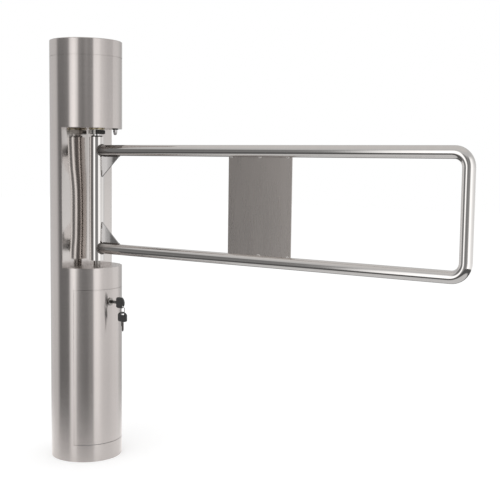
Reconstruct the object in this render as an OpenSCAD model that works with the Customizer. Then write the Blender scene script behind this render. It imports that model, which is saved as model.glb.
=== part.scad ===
// Pedestrian swing gate: a round column with a framed arm that turns in a cut-away window.
// The origin is on the floor on the column's axis, +Z is up and the closed arm points along +X.

/* [Column] */
// Outside diameter of the column tube
column_d = 168; // [160:1:200]
// Wall of the column tube
column_wall = 2; // [1.5:0.25:3]
// Height of the column wall between the door opening and the lower deck
door_head = 50; // [44:1:114]
// Height of the cut-away window between the housings
window_h = 323; // [300:1:420]
// Height of the upper housing with its cap
upper_h = 201; // [195:1:260]
// Forward place of the cut through the column
cut_x = 4; // [0:0.5:8]
// Thickness of the panel that closes the back half
panel_t = 1.5; // [1:0.5:3]
// Thickness of the two deck plates
deck_t = 6; // [5:0.5:8]
// Diameter of the cable way through each deck
duct_d = 40; // [20:1:48]

/* [Cap] */
// Height of the cap above its seam
cap_h = 38; // [25:1:60]
// Wall of the cap
cap_wall = 2; // [1.5:0.25:3]
// Depth of the cap's spigot inside the column
spigot_h = 20; // [14:1:30]
// Radius of the cap's top edge
cap_edge_r = 1.5; // [1:0.25:1.75]
// Width of the cap's seam
seam_gap = 0.6; // [0.3:0.1:1.5]
// Diameter of a cap screw
cap_screw_d = 4; // [3:0.5:5]

/* [Base] */
// Thickness of the base plate
base_t = 12; // [8:1:16]
// Circle of the four floor anchors
anchor_pcd = 120; // [100:1:130]
// Diameter of an anchor hole
anchor_d = 14; // [10:0.5:16]
// Diameter of the cable hole in the base plate
cable_d = 50; // [25:1:60]

/* [Arm] */
// Distance of the pivot axis behind the column's front
pivot_inset = 50; // [46:0.5:52]
// Outside diameter of the pivot tube
pivot_d = 34; // [32:0.5:40]
// Wall of the pivot tube
pivot_wall = 2; // [1.5:0.25:2.5]
// Gap between the deck and the pivot tube
foot_gap = 14; // [8:1:16]
// Gap between the upper housing and the pivot tube
head_gap = 20; // [19:1:28]
// Distance from the top of the pivot tube to the upper rail
rail_drop = 31; // [22:1:40]
// Distance from the foot of the pivot tube to the lower rail
rail_rise = 29; // [22:1:40]
// Reach of the arm, pivot axis to end post axis
arm_reach = 911; // [700:1:1000]
// Outside diameter of the arm tube
arm_d = 25; // [22:0.5:28]
// Wall of the arm tube
arm_wall = 1.5; // [1:0.25:2]
// Centreline radius of the arm's two bends
bend_r = 28; // [24:1:50]
// Leg of a corner gusset along the rail
gusset_leg = 54; // [30:1:60]
// Leg of a corner gusset along the pivot tube
gusset_rise = 49; // [30:1:60]
// Thickness of a corner gusset
gusset_t = 3; // [2:0.5:4]
// Distance from the pivot axis to the sign plate
sign_from = 380; // [200:1:400]
// Width of the sign plate
sign_w = 157; // [100:1:240]
// Thickness of the sign plate
sign_t = 2; // [1:0.25:3]

/* [Pivot] */
// Diameter of the drive shaft
shaft_d = 22; // [20:0.5:22]
// Depth of the drive shaft in the pivot tube
shaft_seat = 34; // [24:1:50]
// Width across the flats of the lock nut
nut_af = 34; // [30:0.5:35]
// Height of the lock nut
nut_h = 9.5; // [8:0.5:10.5]
// Turn of the lock nut about its shaft
nut_turn = 35; // [0:1:59]
// Gap between the lock nut and the flange of the bush
nut_gap = 1; // [0.5:0.25:2]
// Thickness of the dark washer on the pivot tube
washer_t = 3; // [2:0.5:3.5]
// Outside diameter of the dark washer
washer_d = 26; // [25:0.5:32]
// Diameter of the pivot pin
pin_d = 16; // [14:0.5:16]
// Depth of the pivot pin in the pivot tube
pin_seat = 24; // [18:1:30]
// Width across the flats of the pivot pin's nut
pin_nut_af = 24; // [22:0.5:26]
// Height of the pivot pin's nut
pin_nut_h = 13; // [8:0.5:14]
// Wall of the lower bush
lower_bush_wall = 2.5; // [2:0.25:3]
// Thickness of the thrust pad
thrust_t = 3; // [2:0.5:5]

/* [Upper bearing] */
// Diameter of the bush's flange
bush_flange_d = 36; // [35:0.5:38]
// Thickness of the bush's flange
bush_flange_t = 3; // [2:0.5:4]
// Wall of the upper bush
bush_wall = 4; // [3:0.25:4.5]
// Height of the bearing housing
bearing_h = 20; // [16:1:22]
// Diameter of the bearing housing's flange
bearing_flange_d = 60; // [58:0.5:62]
// Thickness of the bearing housing's flange
bearing_flange_t = 8; // [6:0.5:9]
// Wall of the bearing housing around the bush
bearing_wall = 4; // [3:0.25:4.5]
// Diameter of a bearing screw
bearing_screw_d = 5; // [4:0.5:5]

/* [Stops] */
// Half of the arm's swing
swing = 90; // [60:1:92]
// Distance of the stop post from the column's inner wall
stop_inset = 7; // [6:0.5:8]
// Turn of the stop post from the arm
stop_turn = 17; // [15:1:24]
// Diameter of the stop stud
stop_stud_d = 5; // [4:0.5:6]
// Diameter of the rubber stop buffer
buffer_d = 13; // [10:0.5:13]
// Play between buffer and stop at the end of the swing
stop_play = 0.5; // [0.4:0.1:1]
// Thickness of the stop disc
stop_disc_t = 5; // [4:0.5:6]
// Wall of the stop disc's shoulder beyond its core
stop_lift = 10; // [8:0.5:11]
// Diameter of the black washer under the upper housing
stop_washer_d = 14; // [12:0.5:14]
// Thickness of the black washer
stop_washer_t = 3; // [1:0.25:3]
// Width across the flats of the dome nut
stop_nut_af = 8.5; // [7:0.5:10]
// Height of the dome nut's hexagon
stop_nut_h = 6; // [4:0.5:7]

/* [Drive] */
// Module of the gears
gear_module = 2; // [1.8:0.1:2]
// Teeth of the driven gear
gear_teeth = 36; // [34:2:36]
// Teeth of the drive pinion
pinion_teeth = 18; // [18:2:20]
// Width of the gear faces
gear_w = 12; // [8:0.5:13]
// Play between the teeth
backlash = 0.3; // [0.25:0.05:0.5]
// Gap between stacked parts on the shaft
stack_gap = 3; // [2:0.5:4]
// Diameter of the gear motor's output shaft
output_d = 10; // [8:0.5:12]
// Diameter of the gearbox
gearbox_d = 60; // [54:1:60]
// Height of the gearbox
gearbox_h = 42; // [30:1:44]
// Diameter of the motor
motor_d = 52; // [40:1:56]
// Height of the motor
motor_h = 42; // [30:1:44]
// Thickness of the motor plate
motor_plate_t = 6; // [5:0.5:7]
// Width of the motor plate
motor_plate_w = 112; // [108:1:116]
// Gap between the motor plate and the column wall
motor_plate_gap = 2; // [1:0.5:3]
// Diameter of a motor standoff
standoff_d = 10; // [8:0.5:12]
// Diameter of the screws that hold motor and equipment
screw_d = 5; // [4:0.5:5]
// Sideways place of the sensor post
sensor_side = 54; // [52:1:58]
// Diameter of the position disc
disc_d = 38; // [34:0.5:40]
// Thickness of the position disc
disc_t = 1.5; // [1:0.25:2]

/* [Door] */
// Height of the door opening's sill above the floor
sill_h = 40; // [30:1:80]
// Height of the door opening
door_h = 366; // [340:1:372]
// Half of the angle that the door spans
door_half = 67; // [55:1:68]
// Thickness of the door sheet
door_t = 1.5; // [1:0.25:1.75]
// Gap along the door's top and sides
door_gap = 0.5; // [0.5:0.1:1.5]
// Gap under the door
door_foot_gap = 1; // [1:0.25:3]
// Distance of each door hook from the door's middle
hook_side = 27; // [20:1:34]
// Width of a door hook
hook_w = 11; // [8:0.5:14]
// Reach of a door hook below the sill
hook_drop = 12; // [8:0.5:16]
// Rise of a door hook above the sill
hook_rise = 28; // [20:1:36]
// Width of the seat strip beside the door opening
jamb_w = 17; // [12:0.5:20]

/* [Lock] */
// Distance of the lock below the top of the door opening
lock_drop = 29.5; // [25:0.5:32]
// Sideways place of the lock
lock_side = -8; // [-8:0.5:8]
// Diameter of the lock's face ring
lock_face_d = 18; // [17:0.5:20]
// Thickness of the lock's face ring
lock_face_t = 2.5; // [2:0.25:3]
// Diameter of the lock body
lock_d = 15; // [14:0.5:15.5]
// Length of the lock body
lock_l = 15.5; // [15:0.5:18]
// Diameter of the lock plug
plug_d = 11; // [10:0.25:11]
// Width across the flats of the nut behind the door
lock_nut_af = 20; // [18:0.5:21]
// Thickness of the nut behind the door
lock_nut_t = 4; // [3:0.5:5]
// Length of the lock cam, axis to tip
cam_l = 34; // [32:0.5:36]
// Width of the lock cam
cam_w = 14; // [12:0.5:14.5]
// Thickness of the lock cam
cam_t = 2.5; // [2:0.25:3]
// Gap between the lock cam and its keeper
keeper_gap = 1.5; // [1:0.25:2]

/* [Keys] */
// Width of a key head
key_head_w = 25; // [22:0.5:27]
// Length of a key head
key_head_l = 23; // [20:0.5:26]
// Thickness of a key head
key_head_t = 4.25; // [4:0.25:6]
// Free length of blade between the lock's face and the key head
key_out = 17; // [12:0.5:24]
// Depth of the blade in the plug
key_in = 14; // [10:0.5:15]
// Width of a key blade
blade_w = 6.6; // [5:0.2:7]
// Thickness of a key blade
blade_t = 2; // [1.5:0.1:2.2]
// Length of the spare key's bare blade
spare_blade_l = 23; // [18:0.5:26]
// Radius of the key ring, to the middle of its wire
ring_r = 7.5; // [7:0.25:9]
// Diameter of the key ring's wire
ring_wire = 1.6; // [1.4:0.1:1.6]
// Clearance of the key ring in a key's hole
ring_play = 0.8; // [0.7:0.05:0.9]
// Diameter of the hole in the key head
key_hole_d = 5.4; // [5.2:0.1:6]
// Length of the slot in the spare key's head
slot_l = 13; // [8:0.5:14]
// Height of the slot in the spare key's head
slot_h = 5; // [3.8:0.1:5]

/* [Equipment] */
// Width of the equipment panel
equip_w = 120; // [100:1:124]
// Height of the equipment panel
equip_h = 310; // [300:1:330]
// Thickness of the equipment panel
equip_t = 2; // [1.5:0.5:3]
// Backward place of the equipment panel
equip_x = 30; // [26:1:34]
// Height of the equipment rails
rail_h = 20; // [16:1:24]
// Thickness of the equipment rails
rail_t = 8; // [6:0.5:10]
// Width of the power supply
supply_w = 98; // [80:1:100]
// Height of the power supply
supply_h = 110; // [90:1:114]
// Depth of the power supply
supply_t = 36; // [30:1:40]
// Width of the control board
board_w = 96; // [80:1:100]
// Height of the control board
board_h = 116; // [100:1:120]
// Thickness of a circuit board
board_t = 1.6; // [1.2:0.2:2]
// Length of a board spacer
spacer_l = 10; // [8:0.5:14]

/* [Fits] */
// Gap around fixed pieces that are welded or slipped in
fit = 0.1; // [0.05:0.05:0.2]
// Radial clearance of a running shaft
running = 0.05; // [0.02:0.01:0.08]
// Radial clearance of a screw in its hole
screw_play = 0.25; // [0.15:0.05:0.4]

/* [Hidden] */
$fn = 96;

// Colours
brushed = [0.66, 0.64, 0.62];
polished = [0.76, 0.75, 0.74];
dark_steel = [0.2, 0.2, 0.2];
brass = [0.68, 0.6, 0.36];
black = [0.06, 0.06, 0.07];
green = [0.1, 0.32, 0.18];
zinc = [0.7, 0.71, 0.72];

// Column and window
over = column_wall;
column_r = column_d / 2;
inner_r = column_r - column_wall;
deck_r = inner_r - fit;
opening_top = sill_h + door_h;
deck_z = opening_top + door_head;
head_z = deck_z + window_h;
top_z = head_z + upper_h;
seam_z = top_z - cap_h;
housing_z = head_z + deck_t;
duct_x = -inner_r / 2;

// Cap
spigot_r = inner_r - 2 * fit;
cap_screw_z = seam_z - spigot_h / 2;
cap_screw_turn = 45;
cap_screw_head_d = 2 * cap_screw_d;
cap_screw_l = column_wall + 2 * cap_wall;

// Arm
pivot_x = column_r - pivot_inset;
pivot_r = pivot_d / 2;
pivot_low = deck_z + foot_gap;
pivot_top = head_z - head_gap;
pivot_bore_r = pivot_r - pivot_wall;
rail_low = pivot_low + rail_rise;
rail_top = pivot_top - rail_drop;
arm_r = arm_d / 2;
post_x = pivot_x + arm_reach;
bend_x = post_x - bend_r;

// Pivot
shaft_r = shaft_d / 2;
pin_r = pin_d / 2;
pin_top = pivot_low + pin_seat;
pin_edge = pin_r / 8;
lower_bush_r = pin_r + running + lower_bush_wall;
lower_plug_l = pin_seat + thrust_t + 2 * pivot_wall;
nut_top = head_z - bush_flange_t - nut_gap;
nut_edge = nut_af / 16;

// Upper bearing, stops and gears, stacked up the shaft from the deck
bush_r = shaft_r + running + bush_wall;
bush_bore_r = bush_r + fit;
bearing_r = bush_bore_r + bearing_wall;
bearing_top = housing_z + bearing_h;
bearing_screw_r = (bearing_flange_d / 2 + bearing_r) / 2;
stop_disc_z = bearing_top + stack_gap;
stop_disc_top = stop_disc_z + stop_disc_t;
gear_z = stop_disc_top + stack_gap + stack_gap;
gear_top = gear_z + gear_w;
gear_r = gear_module * gear_teeth / 2;
pinion_r = gear_module * pinion_teeth / 2;
pinion_x = pivot_x - gear_r - pinion_r;
motor_plate_z = gear_top + 3 * stack_gap;
motor_z = motor_plate_z + motor_plate_t;
disc_z = motor_z + stack_gap;
shaft_top = disc_z + disc_t + stack_gap;

// Stop post, whose buffer stands in the free half of the stop disc
stop_r = inner_r - stop_inset;
stop_x = stop_r * cos(stop_turn);
stop_y = stop_r * sin(stop_turn);
stop_reach = norm([stop_x - pivot_x, stop_y]);
stop_angle = atan2(stop_y, stop_x - pivot_x);
stop_lead = asin((buffer_d / 2 + stop_play) / stop_reach);
stop_core_r = stop_reach - buffer_d / 2 - 2 * stop_play - column_wall;
stop_shoulder_r = stop_core_r + stop_lift;
stop_post_r = stop_stud_d;
stop_dome_r = stop_nut_af / 2 - fit;

// Motor plate, cut to follow the column wall
motor_plate_r = inner_r - motor_plate_gap;
motor_plate_front = pinion_x + gearbox_d / 2 - motor_plate_t / 2;
motor_screw_r = gearbox_d / 2 - screw_d - fit;
standoff_edge = 0.6 * standoff_d;
standoff_y = motor_plate_w / 2 - standoff_edge;
standoff_back = -sqrt(pow(motor_plate_r - standoff_edge, 2) - pow(standoff_y, 2));
standoff_front = motor_plate_front - 1.4 * standoff_d;
standoff_places = [for (x = [standoff_back, standoff_front], side = [-1, 1]) [x, side * standoff_y]];

// Position sensing beside the top of the shaft
sensor_x = pivot_x - stack_gap;
sensor_y = sensor_side;
sensor_w = 2 * standoff_d;
fork_y0 = shaft_r + stack_gap;
fork_y1 = disc_d / 2 + 2 * stack_gap;
fork_jaw = stack_gap;
board_z = shaft_top + stack_gap;

// Door
door_r = column_r;
door_z = sill_h + door_foot_gap;
door_top = opening_top - door_gap;
door_gap_turn = asin(door_gap / door_r);
door_inner_r = door_r - door_t;
hook_t = door_t;
hook_gap = 5 * fit;
hook_x = sqrt(pow(inner_r, 2) - pow(hook_side + hook_w / 2, 2)) - hook_t - hook_gap;
jamb_turn = asin(jamb_w / 2 / deck_r);
jamb_t = column_wall;

// Lock
lock_z = opening_top - lock_drop;
lock_seat_x = column_r + fit;
lock_face_x = lock_seat_x + lock_face_t;
lock_edge = lock_face_t / 2;
lock_back_x = lock_seat_x - lock_l;
plug_r = plug_d / 2;
plug_end_gap = 5 * fit;
plug_back_x = lock_back_x - plug_end_gap;
cam_x = plug_back_x - cam_t;
cam_screw_h = cam_t;
lock_nut_edge = abs(lock_side) + lock_nut_af / sqrt(3);
lock_nut_x = sqrt(pow(door_inner_r, 2) - pow(lock_nut_edge, 2)) - fit - lock_nut_t;
keeper_x = plug_back_x + keeper_gap;
keeper_y = lock_side - cam_w / 2 - cam_t;
keeper_w = cam_w + 2 * cam_t;
keeper_low = lock_z + cam_w / 2 + keeper_gap;
keeper_foot_h = 3 * cam_t;
keeper_top = opening_top + 2 * keeper_foot_h;

// Keys
key_head_x = lock_face_x + key_out;
key_tip_x = lock_face_x - key_in;
// Hole of a key head, along the head and to its side
key_hole_shares = [0.78, 0.34];
key_hole_x = key_head_x + key_hole_shares[0] * key_head_l;
key_hole_z = lock_z - key_hole_shares[1] * key_head_w;
ring_top_z = key_hole_z - key_hole_d / 2 + ring_play + ring_wire / 2;
ring_z = ring_top_z - ring_r;
ring_low_z = ring_z - ring_r;
spare_slot_z = ring_low_z + ring_wire / 2 + ring_play - slot_h / 2;
spare_top = spare_slot_z + slot_h;
spare_head_z = spare_top - key_head_l;
// Outline of the spare blade below its head: place across it and length down it
blade_outline_shares = [[0.5, 0.8], [0.2, 1], [-0.2, 0.9], [-0.2, 0.5], [-0.5, 0.42]];

// Equipment
equip_z = sill_h + equip_x / 2;
rail_low_z = equip_z + rail_h / 2;
rail_high_z = equip_z + equip_h - 3 * rail_h / 2;
panel_screw_y = equip_w / 2 - rail_h / 2;
supply_z = equip_z + rail_h * 2;
equip_face = equip_t - equip_x;
board_x = equip_face + spacer_l;
control_z = supply_z + supply_h + rail_h / 2;
terminal_h = 0.7 * rail_h;
spacer_d = 0.6 * spacer_l;

// Slots of the power supply: places across it, and the width of each, as shares of its width
slot_place_shares = [0.12, 0.54];
slot_width_share = 0.34;

// Components of the control board: place and size as shares of the board, and height as a
// share of a spacer
board_part_shares = [
    [0.08, 0.62, 0.2, 0.26, 1.6], [0.34, 0.62, 0.2, 0.26, 1.6], [0.62, 0.6, 0.26, 0.3, 0.4],
    [0.1, 0.34, 0.3, 0.18, 0.8], [0.52, 0.32, 0.36, 0.16, 0.5], [0.3, 0.07, 0.18, 0.18, 1.8]
];
// Terminal block: its place across and up the board, and its width
terminal_shares = [0.06, 0.05, 0.4];

// Hexagon prism
module hexagon(af, h) cylinder(d = af * 2 / sqrt(3), h = h, $fn = 6);

// Wedge that spans an angle either side of +X
module wedge(half, r, h) linear_extrude(h)
    polygon([[0, 0], for (t = [-1 : 0.25 : 1]) 2 * r * [cos(t * half), sin(t * half)]]);

// Four places on a circle
module four(r, turn = 45) for (a = [0 : 90 : 270]) rotate(a + turn) translate([r, 0]) children();

// Angle that an involute has unrolled at a radius
function involute(r, base) = r <= base ? 0
    : let (t = sqrt(pow(r / base, 2) - 1)) t * 180 / PI - atan(t);

// Spur gear outline with a tooth on +X
module gear_outline(teeth) {
    pitch = gear_module * teeth / 2;
    base = pitch * cos(20);
    root = pitch - 1.25 * gear_module;
    tip = pitch + gear_module;
    half = 90 / teeth - backlash / pitch * 45 / PI;
    low = max(root, base);
    radii = [root, for (t = [0 : 0.25 : 1]) low + (tip - low) * t];
    function edge(r) = half + involute(pitch, base) - involute(r, base);
    polygon([
        for (i = [0 : teeth - 1]) each [
            for (r = radii) r * [cos(i * 360 / teeth - edge(r)), sin(i * 360 / teeth - edge(r))],
            for (k = [len(radii) - 1 : -1 : 0]) let (r = radii[k])
                r * [cos(i * 360 / teeth + edge(r)), sin(i * 360 / teeth + edge(r))]
        ]
    ]);
}

// Column shell

module column_tube() color(brushed) difference() {
    cylinder(r = column_r, h = seam_z);
    translate([0, 0, -over]) cylinder(r = inner_r, h = top_z);
    translate([cut_x, -column_d, deck_z]) cube([column_d, 2 * column_d, window_h]);
    translate([0, 0, sill_h]) wedge(door_half, column_r, door_h);
    cap_screw_places() {
        cylinder(d = cap_screw_d + 2 * screw_play, h = 2 * cap_screw_l, center = true);
        cap_screw_head(screw_play);
    }
}

module cap_screw_places() for (side = [-1, 1]) rotate(180 + side * cap_screw_turn)
    translate([column_r, 0, cap_screw_z]) rotate([0, 90, 0]) children();

module cap_screw_head(play = 0)
    translate([0, 0, fit / 2 - cap_screw_d / 2])
        cylinder(d1 = cap_screw_d + 2 * play, d2 = cap_screw_head_d + 2 * play, h = cap_screw_d / 2);

module top_cap() color(brushed) difference() {
    rotate_extrude() difference() {
        union() {
            translate([0, seam_z + seam_gap]) square([column_r, cap_h - seam_gap - cap_edge_r]);
            translate([0, top_z - cap_edge_r - fit]) square([column_r - cap_edge_r, cap_edge_r + fit]);
            translate([column_r - cap_edge_r, top_z - cap_edge_r]) intersection() {
                circle(cap_edge_r);
                square(cap_edge_r);
            }
            translate([0, seam_z - spigot_h]) square([spigot_r, spigot_h + cap_wall]);
        }
        translate([0, seam_z - spigot_h - over])
            square([spigot_r - cap_wall, spigot_h + cap_h - cap_wall + over]);
    }
    cap_screw_places() cylinder(d = cap_screw_d + 2 * running, h = 2 * cap_screw_l, center = true);
}

module cap_screws() color(zinc) cap_screw_places() difference() {
    union() {
        translate([0, 0, -cap_screw_l]) cylinder(d = cap_screw_d, h = cap_screw_l - cap_screw_d / 4);
        translate([0, 0, -fit]) cap_screw_head();
    }
    translate([0, 0, -cap_screw_d / 3]) hexagon(cap_screw_d / 2, cap_screw_d);
}

module closing_panel() color(polished) {
    half = sqrt(pow(deck_r, 2) - pow(cut_x, 2));
    translate([cut_x - panel_t, -half, deck_z + fit]) cube([panel_t, 2 * half, window_h - 2 * fit]);
}

module deck_disc(z) difference() {
    translate([0, 0, z]) cylinder(r = deck_r, h = deck_t);
    translate([duct_x, 0, z - over]) cylinder(d = duct_d, h = deck_t + 2 * over);
}

module lower_deck() color(brushed) difference() {
    deck_disc(deck_z - deck_t);
    translate([pivot_x, 0, deck_z - deck_t - over]) cylinder(r = pin_r + running, h = deck_t + 2 * over);
}

module upper_deck() color(brushed) difference() {
    deck_disc(head_z);
    translate([pivot_x, 0, head_z - over]) cylinder(r = bush_bore_r, h = deck_t + 2 * over);
    translate([stop_x, stop_y, head_z - over])
        cylinder(d = stop_stud_d + 2 * screw_play, h = deck_t + 2 * over);
    translate([pivot_x, 0, head_z + deck_t / 3]) four(bearing_screw_r)
        cylinder(d = bearing_screw_d + 2 * running, h = deck_t);
    for (p = standoff_places) translate([p[0], p[1], head_z + deck_t / 3])
        cylinder(d = standoff_d / 2 + 2 * running, h = deck_t);
}

module base_plate() color(zinc) difference() {
    cylinder(r = deck_r, h = base_t);
    translate([0, 0, -over]) cylinder(d = cable_d, h = base_t + 2 * over);
    translate([0, 0, -over]) four(anchor_pcd / 2) cylinder(d = anchor_d, h = base_t + 2 * over);
}

// Upper bearing

module upper_bush() color(brass) translate([pivot_x, 0, head_z]) difference() {
    union() {
        translate([0, 0, -bush_flange_t]) cylinder(d = bush_flange_d, h = bush_flange_t);
        cylinder(r = bush_r, h = deck_t + bearing_h);
    }
    translate([0, 0, -over - bush_flange_t])
        cylinder(r = shaft_r + running, h = bush_flange_t + deck_t + bearing_h + 2 * over);
}

module bearing_housing() color(dark_steel) translate([pivot_x, 0, housing_z]) difference() {
    union() {
        cylinder(d = bearing_flange_d, h = bearing_flange_t);
        cylinder(r = bearing_r, h = bearing_h);
    }
    translate([0, 0, -over]) cylinder(r = bush_bore_r, h = bearing_h + 2 * over);
    translate([0, 0, -over]) four(bearing_screw_r)
        cylinder(d = bearing_screw_d + 2 * screw_play, h = bearing_flange_t + 2 * over);
}

// Socket screw with its head on the origin and its thread down
module socket_screw(d, length) difference() {
    union() {
        cylinder(d = 1.4 * d, h = 0.8 * d);
        translate([0, 0, -length]) cylinder(d = d, h = length);
    }
    translate([0, 0, 0.4 * d]) hexagon(d / 2, d);
}

module bearing_screws() color(zinc)
    translate([pivot_x, 0, housing_z + bearing_flange_t]) four(bearing_screw_r)
        socket_screw(bearing_screw_d, bearing_flange_t + deck_t / 2);

// Lower pivot

module pivot_pin() color(polished) translate([pivot_x, 0, 0]) {
    foot = deck_z - deck_t - pin_nut_h - pin_edge;
    translate([0, 0, foot]) cylinder(r = pin_r, h = pin_top - pin_edge - foot);
    translate([0, 0, pin_top - pin_edge]) cylinder(r1 = pin_r, r2 = pin_r - pin_edge, h = pin_edge);
}

module pin_nut() color(zinc) translate([pivot_x, 0, deck_z - deck_t - pin_nut_h]) difference() {
    hexagon(pin_nut_af, pin_nut_h);
    translate([0, 0, -over]) cylinder(r = pin_r + running, h = pin_nut_h + 2 * over);
}

// Stop for the arm's swing

module stop_post() color(zinc) translate([stop_x, stop_y, 0]) {
    stud_low = head_z - stop_washer_t - stop_nut_h;
    translate([0, 0, housing_z]) cylinder(r = stop_post_r, h = stop_disc_z - housing_z - stack_gap);
    translate([0, 0, stud_low]) cylinder(d = stop_stud_d, h = stop_disc_top + stack_gap - stud_low);
}

module stop_buffer() color(black) translate([stop_x, stop_y, stop_disc_z - stack_gap]) difference() {
    cylinder(d = buffer_d, h = stop_disc_t + 2 * stack_gap);
    translate([0, 0, -over]) cylinder(d = stop_stud_d + 2 * running, h = gear_z);
}

module stop_washer() color(black) translate([stop_x, stop_y, head_z - stop_washer_t]) difference() {
    cylinder(d = stop_washer_d, h = stop_washer_t);
    translate([0, 0, -over]) cylinder(d = stop_stud_d + 2 * running, h = deck_t);
}

module stop_nut() color(polished)
    translate([stop_x, stop_y, head_z - stop_washer_t]) mirror([0, 0, 1]) difference() {
        union() {
            hexagon(stop_nut_af, stop_nut_h);
            cylinder(r = stop_dome_r, h = stop_nut_h + stop_dome_r / 2);
            translate([0, 0, stop_nut_h + stop_dome_r / 2]) sphere(stop_dome_r);
        }
        translate([0, 0, -over]) cylinder(d = stop_stud_d + 2 * running, h = stop_nut_h + over);
    }

// Gear motor and its plate

module motor_plate() color(zinc) difference() {
    intersection() {
        translate([0, 0, motor_plate_z]) cylinder(r = motor_plate_r, h = motor_plate_t);
        translate([-column_r, -motor_plate_w / 2, motor_plate_z])
            cube([column_r + motor_plate_front, motor_plate_w, motor_plate_t]);
    }
    translate([pinion_x, 0, motor_plate_z - over]) {
        cylinder(d = 2 * output_d + 2 * fit, h = motor_plate_t + 2 * over);
        four(motor_screw_r) cylinder(d = screw_d + 2 * screw_play, h = motor_plate_t + 2 * over);
    }
    for (p = standoff_places) translate([p[0], p[1], motor_plate_z - over])
        cylinder(d = standoff_d / 2 + 2 * screw_play, h = motor_plate_t + 2 * over);
}

module motor_standoffs() color(zinc) for (p = standoff_places) translate([p[0], p[1], 0]) {
    thread_low = housing_z - deck_t / 2;
    translate([0, 0, housing_z]) cylinder(d = standoff_d, h = motor_plate_z - housing_z);
    translate([0, 0, thread_low]) cylinder(d = standoff_d / 2, h = motor_z - thread_low);
    translate([0, 0, motor_z]) hexagon(0.8 * standoff_d, standoff_d / 4);
}

module gear_motor() color(black) translate([pinion_x, 0, motor_z]) difference() {
    union() {
        translate([0, 0, fit - motor_plate_t]) cylinder(r = output_d, h = motor_plate_t);
        cylinder(d = gearbox_d, h = gearbox_h);
        cylinder(d = motor_d, h = gearbox_h + motor_h);
        translate([0, 0, gearbox_h + motor_h - stack_gap])
            cylinder(d = motor_d - 2 * standoff_d, h = 2 * stack_gap);
    }
    translate([0, 0, -over - motor_plate_t])
        cylinder(d = output_d + 2 * running, h = gearbox_h / 2 + over);
    translate([0, 0, -over])
        four(motor_screw_r) cylinder(d = screw_d + 2 * running, h = gearbox_h / 2);
}

module motor_screws() color(zinc) translate([pinion_x, 0, motor_plate_z]) mirror([0, 0, 1])
    four(motor_screw_r) socket_screw(screw_d, motor_plate_t + 2 * screw_d);

module output_shaft() color(polished) translate([pinion_x, 0, gear_z - stack_gap])
    cylinder(d = output_d, h = motor_z - gear_z + stack_gap + gearbox_h / 4);

module drive_pinion() color(zinc) translate([pinion_x, 0, gear_z]) difference() {
    union() {
        linear_extrude(gear_w) rotate(180 / pinion_teeth) gear_outline(pinion_teeth);
        cylinder(d = 2 * output_d, h = gear_w + stack_gap);
    }
    translate([0, 0, -over]) cylinder(d = output_d + 2 * running, h = gear_w + stack_gap + 2 * over);
}

// Position sensing

module sensor_post() color(zinc)
    translate([sensor_x, sensor_y, housing_z]) cylinder(d = 0.8 * standoff_d, h = board_z - housing_z);

module sensor_board() color(green) translate([sensor_x, 0, board_z]) {
    translate([-sensor_w / 2, fork_y0, 0]) cube([sensor_w, sensor_y - fork_y0 + standoff_d / 2, board_t]);
    translate([0, sensor_y - standoff_d, board_t]) cylinder(d = standoff_d / 2, h = standoff_d / 2);
}

module fork_sensor() color(black) translate([sensor_x - sensor_w / 4, fork_y0, disc_z - 2 * fork_jaw])
    difference() {
        cube([sensor_w / 2, fork_y1 - fork_y0, board_z - disc_z + 2 * fork_jaw]);
        translate([-over, -over, fork_jaw])
            cube([sensor_w / 2 + 2 * over, disc_d / 2 - fork_y0 + over + running + fork_jaw,
                  disc_t + 2 * fork_jaw]);
    }

// Lower housing

module door_jambs() color(brushed) for (side = [-1, 1]) rotate(side * door_half)
    translate([0, 0, sill_h]) intersection() {
        difference() {
            cylinder(r = deck_r, h = door_h);
            translate([0, 0, -over]) cylinder(r = deck_r - jamb_t, h = door_h + 2 * over);
        }
        wedge(jamb_turn, column_r, door_h);
    }

module lock_keeper() color(zinc) intersection() {
    cylinder(r = deck_r, h = top_z);
    translate([keeper_x, keeper_y, 0]) {
        translate([0, 0, keeper_low]) cube([cam_t, keeper_w, keeper_top - keeper_low]);
        translate([0, 0, keeper_top - keeper_foot_h]) cube([column_r, keeper_w, keeper_foot_h]);
    }
}

module equipment_rails() color(zinc) for (z = [rail_low_z, rail_high_z]) difference() {
    intersection() {
        translate([0, 0, z]) cylinder(r = deck_r, h = rail_h);
        translate([-equip_x - rail_t, -column_r, z]) cube([rail_t, column_d, rail_h]);
    }
    for (side = [-1, 1]) translate([-equip_x - rail_t - over, side * panel_screw_y, z + rail_h / 2])
        rotate([0, 90, 0]) cylinder(d = screw_d + 2 * running, h = rail_t + 2 * over);
}

module panel_screw_places() for (z = [rail_low_z, rail_high_z], side = [-1, 1])
    translate([equip_face, side * panel_screw_y, z + rail_h / 2]) rotate([0, 90, 0]) children();

module equipment_panel() color(zinc) difference() {
    translate([-equip_x, -equip_w / 2, equip_z]) cube([equip_t, equip_w, equip_h]);
    panel_screw_places() cylinder(d = screw_d + 2 * screw_play, h = 4 * equip_t, center = true);
}

module panel_screws() color(zinc)
    panel_screw_places() socket_screw(screw_d, equip_t + rail_t);

module power_supply() color(zinc) translate([equip_face, -supply_w / 2, supply_z]) difference() {
    cube([supply_t, supply_w, supply_h]);
    for (i = [1 : 9], place = slot_place_shares)
        translate([supply_t - equip_t / 2, supply_w * place, supply_h * i / 10])
            cube([equip_t, supply_w * slot_width_share, supply_h / 30]);
}

module board_places() translate([equip_face, 0, control_z + board_h / 2])
    for (y = [-1, 1], z = [-1, 1])
        translate([0, y * (board_w / 2 - spacer_d), z * (board_h / 2 - spacer_d)])
            rotate([0, 90, 0]) children();

module board_spacers() color(brass) board_places() cylinder(d = spacer_d, h = spacer_l);

module control_board() color(green)
    translate([board_x, -board_w / 2, control_z]) cube([board_t, board_w, board_h]);

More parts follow.
